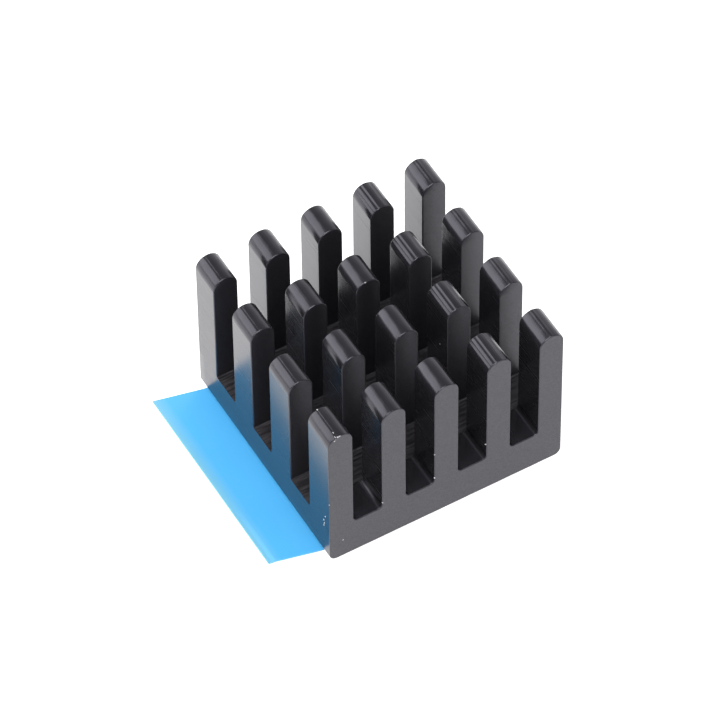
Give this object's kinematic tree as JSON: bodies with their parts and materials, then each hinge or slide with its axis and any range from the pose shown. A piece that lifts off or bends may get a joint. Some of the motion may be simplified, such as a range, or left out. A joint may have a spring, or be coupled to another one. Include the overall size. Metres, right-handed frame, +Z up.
{
  "type": "pin heat sink",
  "caption": "Small black anodised pin heat sink with rounded pin tops, bonding tape under its base and a peel-off blue film whose tab sticks out at one side.",
  "frame": {"origin": "middle of the sink's footprint, on the underside that is bonded down (the underside of the peel-off film while it is on)", "axes": "+Z up from the bonded face to the pin tips, +X across the fins away from the film's tab, +Y along the extrusion"},
  "size_m": [0.0184, 0.0148, 0.0113],
  "materials": {
    "anodised": "black anodised, satin with die lines along the extrusion, matte on the sawn ends",
    "tape": "white acrylic bonding tape, matte",
    "film": "bright blue release film, smooth and slightly glossy"
  },
  "bodies": {
    "root": {"heat_sink": "anodised", "bonding_tape": "tape", "release_film": "film"}
  },
  "joints": []
}
